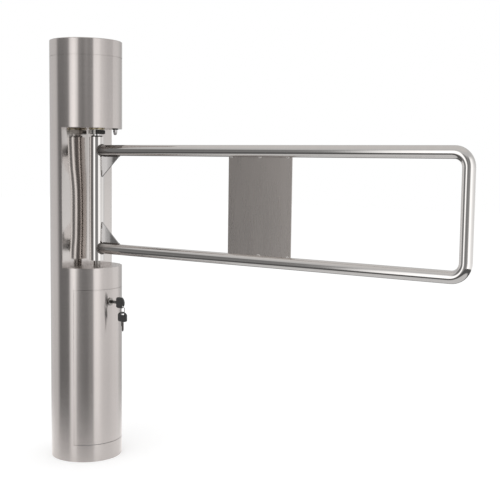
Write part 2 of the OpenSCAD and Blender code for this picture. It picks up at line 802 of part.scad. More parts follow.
module board_parts() color(black) {
    for (p = board_part_shares)
        translate([board_x + board_t, board_w * (p[0] - 0.5), control_z + board_h * p[1]])
            cube([spacer_l * p[4], board_w * p[2], board_h * p[3]]);
    terminal_block();
}

module terminal_block() {
    width = board_w * terminal_shares[2];
    translate([board_x + board_t, board_w * terminal_shares[0], control_z + board_h * terminal_shares[1]])
        difference() {
            cube([terminal_h, width, terminal_h]);
            for (i = [0 : 5]) translate([terminal_h / 2, width * (i + 0.5) / 6, terminal_h / 4])
                rotate([0, 90, 0]) cylinder(d = terminal_h / 4, h = terminal_h);
        }
}

// Arm

module arm_path(r) {
    for (z = [rail_low, rail_top]) translate([pivot_x, 0, z]) rotate([0, 90, 0])
        cylinder(r = r, h = arm_reach - bend_r);
    translate([post_x, 0, rail_low + bend_r]) cylinder(r = r, h = rail_top - rail_low - 2 * bend_r);
    translate([bend_x, 0, rail_top - bend_r]) rotate([90, 0, 0]) rotate_extrude(angle = 90)
        translate([bend_r, 0]) circle(r);
    translate([bend_x, 0, rail_low + bend_r]) rotate([90, 0, 0]) rotate([0, 0, -90])
        rotate_extrude(angle = 90) translate([bend_r, 0]) circle(r);
}

module pivot_bulk(r) translate([pivot_x, 0, pivot_low]) cylinder(r = r, h = pivot_top - pivot_low);

module rail_bulk(r) for (z = [rail_low, rail_top]) translate([pivot_x, 0, z]) rotate([0, 90, 0])
    cylinder(r = r, h = arm_reach - bend_r);

module arm_tube() color(polished) difference() {
    arm_path(arm_r);
    arm_path(arm_r - arm_wall);
    pivot_bulk(pivot_r + fit / 2);
}

module pivot_tube() color(polished) difference() {
    pivot_bulk(pivot_r);
    translate([pivot_x, 0, pivot_low - over]) cylinder(r = pivot_bore_r, h = window_h);
}

module upper_plug() color(zinc) translate([pivot_x, 0, pivot_top - shaft_seat]) difference() {
    cylinder(r = pivot_bore_r - fit, h = shaft_seat);
    translate([0, 0, -over]) cylinder(r = shaft_r + running, h = shaft_seat + 2 * over);
}

module lower_plug() color(zinc) translate([pivot_x, 0, pivot_low]) difference() {
    cylinder(r = pivot_bore_r - fit, h = lower_plug_l);
    translate([0, 0, -over]) cylinder(r = lower_bush_r + fit, h = pin_seat + thrust_t + over);
}

module lower_bush() color(brass) translate([pivot_x, 0, pivot_low]) difference() {
    cylinder(r = lower_bush_r, h = pin_seat);
    translate([0, 0, -over]) cylinder(r = pin_r + running, h = pin_seat + 2 * over);
}

module thrust_pad() color(brass)
    translate([pivot_x, 0, pin_top + fit]) cylinder(r = lower_bush_r, h = thrust_t - fit);

// Corner gusset: side is 1 under the top rail and -1 above the low rail
module gusset(z, side) difference() {
    translate([pivot_x, gusset_t / 2, z]) rotate([90, 0, 0]) linear_extrude(gusset_t) polygon([
        [0, 0],
        [pivot_r + gusset_leg, 0],
        [pivot_r + gusset_leg, -side * arm_r],
        [pivot_r, -side * (arm_r + gusset_rise)],
        [0, -side * (arm_r + gusset_rise)]
    ]);
    pivot_bulk(pivot_r + fit / 2);
    rail_bulk(arm_r + fit / 2);
}

module gussets() color(polished) {
    gusset(rail_top, 1);
    gusset(rail_low, -1);
}

module sign_plate() color(brushed) difference() {
    translate([pivot_x + sign_from, -sign_t / 2, rail_low]) cube([sign_w, sign_t, rail_top - rail_low]);
    rail_bulk(arm_r + fit / 2);
}

module drive_shaft() color(polished) translate([pivot_x, 0, 0]) {
    foot = pivot_top - shaft_seat;
    translate([0, 0, foot]) cylinder(r = shaft_r, h = shaft_top - pin_edge - foot);
    translate([0, 0, shaft_top - pin_edge]) cylinder(r1 = shaft_r, r2 = shaft_r - pin_edge, h = pin_edge);
}

module thrust_washer() color(dark_steel) translate([pivot_x, 0, pivot_top]) difference() {
    cylinder(d = washer_d, h = washer_t);
    translate([0, 0, -over]) cylinder(r = shaft_r + running, h = washer_t + 2 * over);
}

module lock_nut() color(dark_steel) translate([pivot_x, 0, nut_top - nut_h]) difference() {
    round_d = nut_af + 4 * nut_edge;
    intersection() {
        rotate(nut_turn) hexagon(nut_af, nut_h);
        union() {
            cylinder(d1 = nut_af, d2 = round_d, h = nut_edge);
            translate([0, 0, nut_edge]) cylinder(d = round_d, h = nut_h - 2 * nut_edge);
            translate([0, 0, nut_h - nut_edge]) cylinder(d1 = round_d, d2 = nut_af, h = nut_edge);
        }
    }
    translate([0, 0, -over]) cylinder(r = shaft_r + running, h = nut_h + 2 * over);
}

module stop_disc() color(zinc) translate([pivot_x, 0, stop_disc_z]) difference() {
    union() {
        cylinder(r = stop_core_r, h = stop_disc_t);
        rotate(stop_angle + 180) wedge_disc(180 - swing - stop_lead, stop_shoulder_r, stop_disc_t);
        cylinder(r = bearing_r, h = stop_disc_t + stack_gap);
    }
    translate([0, 0, -over]) cylinder(r = shaft_r + running, h = stop_disc_t + stack_gap + 2 * over);
}

// Sector of a disc, either side of +X
module wedge_disc(half, r, h) intersection() {
    cylinder(r = r, h = h);
    wedge(half, r, h);
}

module driven_gear() color(zinc) translate([pivot_x, 0, gear_z]) difference() {
    union() {
        linear_extrude(gear_w) gear_outline(gear_teeth);
        cylinder(r = bearing_r, h = gear_w + stack_gap);
    }
    translate([0, 0, -over]) cylinder(r = shaft_r + running, h = gear_w + stack_gap + 2 * over);
    four((gear_r + bearing_r) / 2 - gear_module / 2, 0) translate([0, 0, -over])
        cylinder(r = (gear_r - bearing_r) / 4, h = gear_w + 2 * over);
}

module position_disc() color(dark_steel) translate([pivot_x, 0, disc_z]) difference() {
    union() {
        cylinder(d = disc_d, h = disc_t);
        translate([0, 0, -stack_gap]) cylinder(r = shaft_r + cap_wall, h = stack_gap);
    }
    translate([0, 0, -over - stack_gap]) cylinder(r = shaft_r + running, h = 4 * stack_gap);
    for (a = [30 : 60 : 330]) rotate(a) translate([disc_d / 2 - disc_t, -disc_t / 2, -over])
        cube([disc_d, disc_t, stack_gap + over]);
}

// Door

module door_panel() color(brushed) difference() {
    intersection() {
        translate([0, 0, door_z]) cylinder(r = door_r, h = door_top - door_z);
        translate([0, 0, door_z]) wedge(door_half - door_gap_turn, door_r, door_top - door_z);
    }
    cylinder(r = door_inner_r, h = top_z);
    translate([0, lock_side, lock_z]) rotate([0, 90, 0]) cylinder(r = lock_d / 2 + screw_play, h = column_d);
}

module door_hooks() color(zinc) for (side = [-1, 1]) intersection() {
    cylinder(r = door_inner_r - running, h = top_z);
    translate([hook_x, side * hook_side - hook_w / 2, 0]) {
        translate([0, 0, sill_h - hook_drop]) cube([hook_t, hook_w, hook_drop + hook_rise]);
        translate([0, 0, door_z + hook_t]) cube([column_r, hook_w, hook_rise / 2]);
    }
}

module lock_body() color(polished) translate([0, lock_side, lock_z]) rotate([0, 90, 0]) difference() {
    union() {
        translate([0, 0, lock_seat_x]) cylinder(d = lock_face_d, h = lock_face_t - lock_edge);
        translate([0, 0, lock_face_x - lock_edge])
            cylinder(d1 = lock_face_d, d2 = lock_face_d - 2 * lock_edge, h = lock_edge);
        translate([0, 0, lock_back_x]) cylinder(d = lock_d, h = lock_l + fit);
    }
    cylinder(r = plug_r + running, h = column_d);
}

module door_lock_nut() color(zinc)
    translate([lock_nut_x, lock_side, lock_z]) rotate([0, 90, 0]) difference() {
        hexagon(lock_nut_af, lock_nut_t);
        translate([0, 0, -over]) cylinder(r = lock_d / 2 + running, h = lock_nut_t + 2 * over);
    }

module lock_plug() color(polished) translate([0, lock_side, lock_z]) difference() {
    way_w = blade_w + 2 * screw_play;
    way_t = blade_t + 2 * screw_play;
    translate([plug_back_x, 0, 0]) rotate([0, 90, 0])
        cylinder(r = plug_r, h = lock_face_x - plug_back_x);
    translate([key_tip_x - plug_end_gap, -way_t / 2, -way_w / 2]) cube([column_d, way_t, way_w]);
}

module lock_cam() color(zinc) translate([cam_x, lock_side, lock_z]) rotate([0, 90, 0])
    linear_extrude(cam_t) {
        circle(d = cam_w);
        translate([-cam_w / 2, 0]) square([cam_w, cam_l - cam_w / 2]);
        translate([0, cam_l - cam_w / 2]) circle(d = cam_w);
    }

module cam_screw() color(zinc) translate([cam_x - cam_screw_h, lock_side, lock_z]) rotate([0, 90, 0])
    cylinder(d = 0.75 * plug_d, h = cam_screw_h);

// Keys

// Head outline with its blade end on the origin, pointing along +X: rounded shoulders at
// the blade and one wide arc at the far end
module head_outline() {
    r = key_head_w / 5;
    half = key_head_w / 2;
    arc = 0.6 * key_head_w;
    for (side = [-1, 1]) translate([r, side * (half - r)]) circle(r);
    translate([0, r - half]) square([key_head_l / 2, key_head_w - 2 * r]);
    translate([r, -half]) square([key_head_l / 2 - r, key_head_w]);
    intersection() {
        translate([key_head_l - arc, 0]) circle(arc);
        translate([key_head_l / 3, -half]) square([key_head_l, key_head_w]);
    }
}

module head_solid() rotate([90, 0, 0]) translate([0, 0, -key_head_t / 2])
    linear_extrude(key_head_t) head_outline();

module key_blade() color(polished)
    translate([key_tip_x, lock_side - blade_t / 2, lock_z - blade_w / 2])
        cube([key_head_x + key_head_l / 4 - key_tip_x, blade_t, blade_w]);

module key_head() color(black) difference() {
    translate([key_head_x, lock_side, lock_z]) head_solid();
    translate([key_head_x - over, lock_side - blade_t / 2 - fit / 2, lock_z - blade_w / 2 - fit / 2])
        cube([key_head_l / 4 + over + fit, blade_t + fit, blade_w + fit]);
    translate([key_hole_x, lock_side, key_hole_z]) rotate([90, 0, 0])
        cylinder(d = key_hole_d, h = 2 * key_head_t, center = true);
}

module key_ring() color(zinc) translate([key_hole_x, lock_side, ring_z]) rotate([0, 90, 0])
    rotate_extrude() translate([ring_r, 0]) circle(d = ring_wire);

module spare_head() color(black) difference() {
    translate([key_hole_x, lock_side, spare_head_z]) rotate([0, -90, 0]) head_solid();
    translate([key_hole_x, lock_side, spare_slot_z]) rotate([90, 0, 0])
        translate([0, 0, -key_head_t]) linear_extrude(2 * key_head_t) for (side = [-1, 1]) {
            translate([side * (slot_l - slot_h) / 2, 0]) circle(d = slot_h);
            translate([(slot_h - slot_l) / 2, -slot_h / 2]) square([slot_l - slot_h, slot_h]);
        }
    translate([key_hole_x - blade_w / 2 - fit / 2, lock_side - blade_t / 2 - fit / 2, spare_head_z - over])
        cube([blade_w + fit, blade_t + fit, key_head_l / 4 + over + fit]);
}

// Flat blade, cut back along one edge, with a pointed tip
module spare_blade() color(polished)
    translate([key_hole_x, lock_side + blade_t / 2, spare_head_z]) rotate([90, 0, 0])
        linear_extrude(blade_t) polygon([
            [-blade_w / 2, key_head_l / 4],
            [blade_w / 2, key_head_l / 4],
            for (p = blade_outline_shares) [blade_w * p[0], -spare_blade_l * p[1]]
        ]);

column_tube();
top_cap();
cap_screws();
closing_panel();
lower_deck();
upper_deck();
base_plate();
upper_bush();
bearing_housing();
bearing_screws();
pivot_pin();
pin_nut();
stop_post();
stop_buffer();
stop_washer();
stop_nut();
motor_plate();
motor_standoffs();
gear_motor();
motor_screws();
sensor_post();
sensor_board();
fork_sensor();
door_jambs();
lock_keeper();
equipment_rails();
equipment_panel();
panel_screws();
power_supply();
board_spacers();
control_board();
board_parts();
arm_tube();
pivot_tube();
upper_plug();
lower_plug();
lower_bush();
thrust_pad();
gussets();
sign_plate();
drive_shaft();
thrust_washer();
lock_nut();
stop_disc();
driven_gear();
position_disc();
output_shaft();
drive_pinion();
door_panel();
door_hooks();
lock_body();
door_lock_nut();
lock_plug();
lock_cam();
cam_screw();
key_blade();
key_head();
key_ring();
spare_blade();
spare_head();
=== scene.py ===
import math

import bmesh
import bpy
from mathutils import Matrix, Vector


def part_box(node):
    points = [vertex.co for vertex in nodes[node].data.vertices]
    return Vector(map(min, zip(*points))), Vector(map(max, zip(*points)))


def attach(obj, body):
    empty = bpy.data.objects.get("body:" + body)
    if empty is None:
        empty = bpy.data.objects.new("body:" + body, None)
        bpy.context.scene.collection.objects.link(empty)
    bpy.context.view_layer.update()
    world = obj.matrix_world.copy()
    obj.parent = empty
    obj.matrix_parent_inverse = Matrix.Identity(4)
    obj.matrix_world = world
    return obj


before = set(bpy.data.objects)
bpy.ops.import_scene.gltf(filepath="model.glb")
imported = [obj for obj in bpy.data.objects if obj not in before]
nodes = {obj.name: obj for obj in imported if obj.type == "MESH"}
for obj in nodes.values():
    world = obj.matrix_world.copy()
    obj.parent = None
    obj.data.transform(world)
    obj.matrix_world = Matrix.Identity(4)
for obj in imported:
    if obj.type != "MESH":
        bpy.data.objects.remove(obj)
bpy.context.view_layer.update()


# Camera: the photograph's own, worked out from the column, the arm and the key. Millimetres for
# the lens and the sensor, degrees for the angles and metres for the rest
FOCAL, SENSOR_WIDTH = 67.77, 36.0
CAMERA_AZIMUTH = 44.0
CAMERA_DISTANCE, CAMERA_HEIGHT = 2.26615, 0.70319
YAW, PITCH, ROLL = 9.90, 5.28, -0.77
CLIP_NEAR, CLIP_FAR = 0.05, 100.0


def make_camera():
    data = bpy.data.cameras.new("camera")
    data.sensor_width = SENSOR_WIDTH
    data.sensor_fit = "HORIZONTAL"
    data.lens = FOCAL
    data.clip_start, data.clip_end = CLIP_NEAR, CLIP_FAR
    data.dof.use_dof = False
    cam = bpy.data.objects.new("camera", data)
    bpy.context.scene.collection.objects.link(cam)
    yaw, pitch, roll = (math.radians(v) for v in (YAW, PITCH, ROLL))
    look = Vector((math.sin(yaw) * math.cos(pitch), math.cos(yaw) * math.cos(pitch), -math.sin(pitch)))
    level_right = Vector((math.cos(yaw), -math.sin(yaw), 0.0))
    level_down = look.cross(level_right)
    right = math.cos(roll) * level_right + math.sin(roll) * level_down
    down = -math.sin(roll) * level_right + math.cos(roll) * level_down
    turn = Matrix.Rotation(math.radians(CAMERA_AZIMUTH), 3, "Z")
    axes = [turn @ right, turn @ -down, turn @ -look]
    place = turn @ Vector((0.0, -CAMERA_DISTANCE, CAMERA_HEIGHT))
    lines = [[axes[0][i], axes[1][i], axes[2][i], place[i]] for i in range(3)]
    cam.matrix_world = Matrix(lines + [[0, 0, 0, 1]])
    bpy.context.scene.camera = cam


# Detail and roughness of a fine and of a soft noise, and the fine lines' share of a brushing
FINE_NOISE, SOFT_NOISE = (3.0, 0.6), (2.0, 0.6)
FINE_SHARE = 0.55
# The part of a brushing's reach over which the tone changes, and its share of the uneven sheen
TONE_FROM, TONE_TO = 0.3, 0.7
SHEEN_SHARE = 0.7
# Least and most roughness, as shares of a material's own, and the least of the smoother ones
ROUGH_LOW, ROUGH_HIGH, EVEN_LOW = 0.8, 1.2, 0.85
# Scales of the slow clouds in metal and in plastic, and how far the metal's clouds take its tint
METAL_CLOUD, PLASTIC_CLOUD = (3, 3, 3), (45, 45, 45)
CLOUD_TINT = 0.6
# Scale, height in metres and strength of the grain of plastic, rubber and paint
GRAIN, GRAIN_DEPTH, GRAIN_STRENGTH = (900, 900, 900), 0.00003, 0.6
POLISH_DEPTH = 0.00001
PROFILE_STEPS = 40
UPRIGHT, ALONG = (0.0, 0.0, 1.0), (1.0, 0.0, 0.0)
# Scales of the brush lines and of the streaks, for metals that share them
RAIL_LINES = (900, 60, 60), (60, 4, 4)
TURNED_LINES = (300, 300, 1500), (40, 40, 300)
PLATED_LINES = (300, 300, 300), (30, 30, 30)
LOCK_LINES = (500, 500, 500), (90, 90, 90)
WELD_LINES = (500, 500, 500), (160, 160, 160)


class Tree:
    """Short calls for building a node tree."""

    def __init__(self, owner):
        owner.use_nodes = True
        self.tree = owner.node_tree
        self.tree.nodes.clear()

    def add(self, kind, inputs=(), **settings):
        node = self.tree.nodes.new(kind)
        for key, value in settings.items():
            setattr(node, key, value)
        for key, value in dict(inputs).items():
            socket = node.inputs[key]
            if isinstance(value, bpy.types.NodeSocket):
                self.tree.links.new(value, socket)
            else:
                socket.default_value = value
        return node

    def math(self, operation, a, b=0.0):
        return self.add("ShaderNodeMath", {0: a, 1: b}, operation=operation).outputs[0]

    def ramp(self, factor, stops):
        """Colours given at stops from 0 to 1."""
        node = self.add("ShaderNodeValToRGB", {"Fac": factor})
        elements = node.color_ramp.elements
        while len(elements) < len(stops):
            elements.new(0.5)
        for element, (place, colour) in zip(elements, stops):
            element.position = place
            element.color = (*colour, 1.0)
        return node.outputs["Color"]

    def axes(self):
        """The object's own X, Y and Z, in metres."""
        where = self.add("ShaderNodeTexCoord").outputs["Object"]
        return self.add("ShaderNodeSeparateXYZ", {0: where}).outputs

    def place(self, scale, location=(0, 0, 0)):
        where = self.add("ShaderNodeTexCoord").outputs["Object"]
        return self.add("ShaderNodeMapping", {"Vector": where, "Scale": scale,
                                              "Location": location}).outputs[0]

    def noise(self, vector, detail=2.0, rough=0.5):
        return self.add("ShaderNodeTexNoise", {"Vector": vector, "Scale": 1.0, "Detail": detail,
                                               "Roughness": rough}).outputs["Fac"]

    def mix(self, factor, a, b, blend="MIX"):
        node = self.add("ShaderNodeMix", data_type="RGBA", blend_type=blend)
        for key, value in ((0, factor), (6, a), (7, b)):
            if isinstance(value, bpy.types.NodeSocket):
                self.tree.links.new(value, node.inputs[key])
            elif key == 0:
                node.inputs[key].default_value = value
            else:
                node.inputs[key].default_value = (*value, 1.0)
        return node.outputs[2]

    def curve(self, factor, points):
        """Values given at points from 0 to 1."""
        low = min(v for _, v in points)
        span = max(v for _, v in points) - low
        node = self.add("ShaderNodeFloatCurve", {"Value": factor})
        line = node.mapping.curves[0]
        for i, (u, value) in enumerate(points):
            spot = (u, (value - low) / span)
            if i in (0, len(points) - 1):
                line.points[0 if i == 0 else -1].location = spot
            else:
                line.points.new(*spot)
        node.mapping.update()
        return self.math("ADD", self.math("MULTIPLY", node.outputs[0], span), low)

    def profile(self, share, slopes, length):
        """Height in metres along a length whose slope is given at shares of it."""
        points, total = [], 0.0
        for i in range(PROFILE_STEPS + 1):
            u = i / PROFILE_STEPS
            after = next(k for k in range(1, len(slopes)) if slopes[k][0] >= u)
            (u0, s0), (u1, s1) = slopes[after - 1], slopes[after]
            points.append((u, total))
            total += (s0 + (s1 - s0) * (u - u0) / (u1 - u0)) * length / PROFILE_STEPS
        return self.curve(share, points)

    def share(self, value, start, end):
        """Where a value lies from start at 0 to end at 1, held to 0 and 1 beyond them."""
        return self.add("ShaderNodeMapRange", {"Value": value, "From Min": start,
                                               "From Max": end}).outputs[0]

    def spread(self, factor, low, high):
        """A factor of 0 to 1 taken to low to high."""
        return self.add("ShaderNodeMapRange", {"Value": factor, "To Min": low, "To Max": high}).outputs[0]

    def sheen(self, factor, rough, low=ROUGH_LOW):
        """A roughness that varies about its own value."""
        return self.spread(factor, rough * low, min(1.0, rough * ROUGH_HIGH))

    def bump(self, height, distance, strength=1.0):
        return self.add("ShaderNodeBump", {"Height": height, "Strength": strength,
                                           "Distance": distance}).outputs[0]

    def vector(self, x, y, z):
        return self.add("ShaderNodeCombineXYZ", {"X": x, "Y": y, "Z": z}).outputs[0]

    def brushing(self, brush, streak):
        """Fine brush lines with broader streaks among them."""
        fine = self.noise(self.place(brush), *FINE_NOISE)
        wide = self.noise(self.place(streak))
        return self.math("ADD", self.math("MULTIPLY", fine, FINE_SHARE),
                         self.math("MULTIPLY", wide, 1 - FINE_SHARE))

    def surface(self, inputs):
        shader = self.add("ShaderNodeBsdfPrincipled", inputs)
        self.add("ShaderNodeOutputMaterial", {"Surface": shader.outputs[0]})


def material(name):
    mat = bpy.data.materials.new(name)
    return mat, Tree(mat)


def shades(colour, darker, lighter):
    """A colour made darker and lighter by two shares."""
    return [c * (1 - darker) for c in colour], [min(1.0, c * (1 + lighter)) for c in colour]


def brushed_metal(name, colour, rough, brush, streak, anisotropy=0.0, tangent=None, depth=0.00002,
                  tint=(1.0, 0.97, 0.95), spread=0.05):
    """Brushed or polished metal: fine lines, broader streaks and a slow cloudy change of tone."""
    mat, t = material(name)
    lines = t.brushing(brush, streak)
    slow = t.noise(t.place(METAL_CLOUD))
    base = t.mix(t.share(lines, TONE_FROM, TONE_TO), *shades(colour, spread, spread))
    base = t.mix(t.spread(slow, 0.0, CLOUD_TINT), base, [c * k for c, k in zip(colour, tint)])
    uneven = t.math("ADD", t.math("MULTIPLY", lines, SHEEN_SHARE), t.math("MULTIPLY", slow, 1 - SHEEN_SHARE))
    inputs = {"Base Color": base, "Metallic": 1.0, "Roughness": t.sheen(uneven, rough),
              "Anisotropic": anisotropy}
    if tangent:
        inputs["Tangent"] = t.vector(*tangent)
    if depth:
        inputs["Normal"] = t.bump(lines, depth)
    t.surface(inputs)
    return mat


def plain_surface(name, colour, rough, spread=0.12, coat=0.0):
    """Moulded, painted or printed surface with a fine grain and an uneven sheen."""
    mat, t = material(name)
    fine = t.noise(t.place(GRAIN), *SOFT_NOISE)
    slow = t.noise(t.place(PLASTIC_CLOUD))
    t.surface({"Base Color": t.mix(slow, *shades(colour, spread, spread)), "Coat Weight": coat,
               "Roughness": t.sheen(fine, rough, EVEN_LOW),
               "Normal": t.bump(fine, GRAIN_DEPTH, GRAIN_STRENGTH)})
    return mat


# Heat at the arm's welds: how uneven its edge is and how far it reaches along the rails, in
# metres, the scale of that unevenness, how dark it leaves the steel and how much rougher
HEAT_FRAY, HEAT_FROM, HEAT_TO = 0.006, 0.004, 0.022
HEAT_SCALE = (120, 120, 120)
HEAT_TONE, HEAT_DULL = 0.45, 0.15


def welded_tube(name, colour, rough, x_from, x_to):
    """Polished tube, dulled by heat beside the weld at its ends."""
    mat, t = material(name)
    lines = t.brushing(*RAIL_LINES)
    base = t.mix(t.share(lines, TONE_FROM, TONE_TO), *shades(colour, 0.03, 0.03))
    frayed = t.math("MULTIPLY", t.noise(t.place(HEAT_SCALE)), HEAT_FRAY)
    clean = t.share(t.math("ADD", t.axes()[0], frayed), x_from, x_to)
    base = t.mix(clean, [c * HEAT_TONE for c in colour], base)
    dull = t.math("MULTIPLY", t.math("SUBTRACT", 1.0, clean), HEAT_DULL)
    t.surface({"Base Color": base, "Metallic": 1.0, "Normal": t.bump(lines, POLISH_DEPTH),
               "Roughness": t.math("ADD", t.sheen(lines, rough), dull)})
    return mat


# Slope of the upper and of the lower gusset, from the pivot tube at 0 to the leg's end at 1
GUSSET_SLOPES = [
    (0.0, -0.312), (0.26, -0.308), (0.35, -0.289), (0.42, -0.281), (0.48, -0.274), (0.54, -0.266),
    (0.6, -0.24), (0.7, -0.05), (1.0, 0.0),
]
LOW_GUSSET_SLOPES = [
    (0.0, -0.312), (0.09, -0.306), (0.15, -0.3), (0.21, -0.281), (0.27, -0.27), (0.33, -0.262),
    (0.39, -0.257), (0.45, -0.25), (0.51, -0.2), (0.65, -0.05), (1.0, 0.0),
]
GUSSET_GRAIN = (200, 200, 900)


def gusset_metal(name, colour, rough):
    """Polished corner plate that mirrors like one ground hollow towards its weld on the pivot tube."""
    mat, t = material(name)
    x, _, z = t.axes()
    low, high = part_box("gussets")
    share = t.share(x, low.x, high.x)
    upper = t.math("GREATER_THAN", z, (low.z + high.z) / 2)
    below, above = (t.profile(share, slopes, high.x - low.x) for slopes in (LOW_GUSSET_SLOPES, GUSSET_SLOPES))
    hollow = t.math("ADD", t.math("MULTIPLY", above, upper),
                    t.math("MULTIPLY", below, t.math("SUBTRACT", 1.0, upper)))
    fine = t.noise(t.place(GUSSET_GRAIN), *SOFT_NOISE)
    t.surface({"Base Color": t.mix(fine, *shades(colour, 0.05, 0.03)), "Metallic": 1.0,
               "Roughness": t.sheen(fine, rough, EVEN_LOW), "Normal": t.bump(hollow, 1.0)})
    return mat


# Sideways slope of the panel behind the pivot, from its left edge at 0 to its right edge at 1;
# the twist that its welds add, and how much of that twist there is from its foot at 0 to its top
PANEL_SLOPES = [
    (0.0, 0.0), (0.12, -0.01), (0.2, 0.0), (0.234, 0.012), (0.275, 0.026), (0.345, 0.034), (0.38, 0.02),
    (0.42, 0.045), (0.448, 0.07), (0.48, 0.075), (0.5, 0.03), (0.519, -0.03), (0.54, 0.035), (0.56, 0.0),
    (1.0, 0.0),
]
TWIST_SLOPES = [(0.0, 0.0), (0.1, 0.8), (0.2, 1.0), (0.45, 1.0), (0.52, 0.0), (1.0, 0.0)]
TWIST_SHARES = [
    (0.0, -0.032), (0.04, -0.03), (0.133, -0.02), (0.229, -0.004), (0.337, 0.0), (0.483, 0.0), (0.63, -0.02),
    (0.74, -0.045), (0.907, -0.061), (1.0, -0.065),
]
# The panel's slow dents: scale, where they start, detail, roughness and height in metres
RIPPLE_SCALE, RIPPLE_START, RIPPLE_NOISE, RIPPLE_DEPTH = (1, 26, 9), (0, 3.1, 0), (1.5, 0.4), 0.00015
PANEL_GRAIN, PANEL_ANISOTROPY = (40, 20, 1500), 0.9


def mirror_panel(name, colour, rough):
    """Polished sheet between the housings that mirrors like one bowed by its welds."""
    mat, t = material(name)
    low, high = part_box("closing_panel")
    width = high.y - low.y
    _, y, z = t.axes()
    rise, across = t.share(z, low.z, high.z), t.share(y, low.y, high.y)
    wave = t.profile(across, PANEL_SLOPES, width)
    twist = t.math("MULTIPLY", t.curve(rise, TWIST_SHARES), t.profile(across, TWIST_SLOPES, width))
    ripple = t.math("MULTIPLY", t.noise(t.place(RIPPLE_SCALE, RIPPLE_START), *RIPPLE_NOISE), RIPPLE_DEPTH)
    height = t.math("ADD", t.math("ADD", wave, twist), ripple)
    fine = t.noise(t.place(PANEL_GRAIN), *SOFT_NOISE)
    t.surface({"Base Color": t.mix(fine, *shades(colour, 0.03, 0.02)), "Metallic": 1.0, "Roughness": rough,
               "Anisotropic": PANEL_ANISOTROPY, "Tangent": t.vector(*UPRIGHT), "Normal": t.bump(height, 1.0)})
    return mat


# Direction across the lock nut along which its painted reflections run, degrees from the arm, and its
# tones along it from 0 to 1: bands of painted reflection and highlight on the nut's own black, with their
# warm tint
NUT_REFLECTION_AXIS = 44.0
NUT_TONES_AND_REFLECTIONS = [
    (0.0, 0.70), (0.15, 0.76), (0.17, 0.12), (0.27, 0.12), (0.30, 0.75), (0.40, 0.75), (0.43, 0.02),
    (0.52, 0.02), (0.56, 0.07), (0.6, 0.02), (0.67, 0.09), (0.71, 0.008), (1.0, 0.008),
]
NUT_TINT = (1.0, 0.97, 0.92)
# Scale of the nut's specks and how much they change its tone, and its roughness
NUT_SCALE, SPECK_LOW, SPECK_HIGH = (500, 500, 300), 0.8, 1.2
NUT_ROUGH_LOW, NUT_ROUGH_HIGH = 0.35, 0.5


def nut_with_painted_reflections(name, node):
    """Blackened nut with painted reflections: a bright side and pale highlights painted in bands across it.
    """
    mat, t = material(name)
    low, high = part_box(node)
    middle = (low + high) / 2
    reach = (high.x - low.x) / 2
    x, y, _ = t.axes()
    side = math.radians(NUT_REFLECTION_AXIS)
    across = t.math("ADD", t.math("MULTIPLY", t.math("SUBTRACT", x, middle.x), math.cos(side)),
                    t.math("MULTIPLY", t.math("SUBTRACT", y, middle.y), math.sin(side)))
    # Painted reflections and highlights in bands across the nut, on its own black
    tone = t.ramp(t.share(across, -reach, reach),
                  [(spot, [v * k for k in NUT_TINT]) for spot, v in NUT_TONES_AND_REFLECTIONS])
    speck = t.spread(t.noise(t.place(NUT_SCALE), *FINE_NOISE), SPECK_LOW, SPECK_HIGH)
    t.surface({"Base Color": t.mix(1.0, tone, t.vector(speck, speck, speck), "MULTIPLY"), "Metallic": 0.25,
               "Roughness": t.spread(t.noise(t.place(GRAIN)), NUT_ROUGH_LOW, NUT_ROUGH_HIGH)})
    return mat


# Solder mask: scale of its fields, width of the tracks between them, their colours, its least and
# most roughness, and the tracks' height in metres and strength
BOARD_SCALE, TRACK_WIDTH = (260, 260, 260), 0.06
FIELD_GREEN, DARK_GREEN, TRACK_GREEN = (0.03, 0.14, 0.07, 1), (0.025, 0.11, 0.06, 1), (0.06, 0.24, 0.12, 1)
MASK_ROUGH_LOW, MASK_ROUGH_HIGH = 0.3, 0.5
TRACK_DEPTH, TRACK_STRENGTH = 0.00005, 0.4


def circuit_board(name):
    """Green solder mask with tracks."""
    mat, t = material(name)
    where = t.place(BOARD_SCALE)
    tracks = t.add("ShaderNodeTexBrick", {"Vector": where, "Scale": 1.0, "Mortar Size": TRACK_WIDTH,
                                          "Color1": FIELD_GREEN, "Color2": DARK_GREEN,
                                          "Mortar": TRACK_GREEN})
    t.surface({"Base Color": tracks.outputs["Color"],
               "Roughness": t.spread(t.noise(where), MASK_ROUGH_LOW, MASK_ROUGH_HIGH),
               "Normal": t.bump(tracks.outputs["Fac"], TRACK_DEPTH, TRACK_STRENGTH)})
    return mat


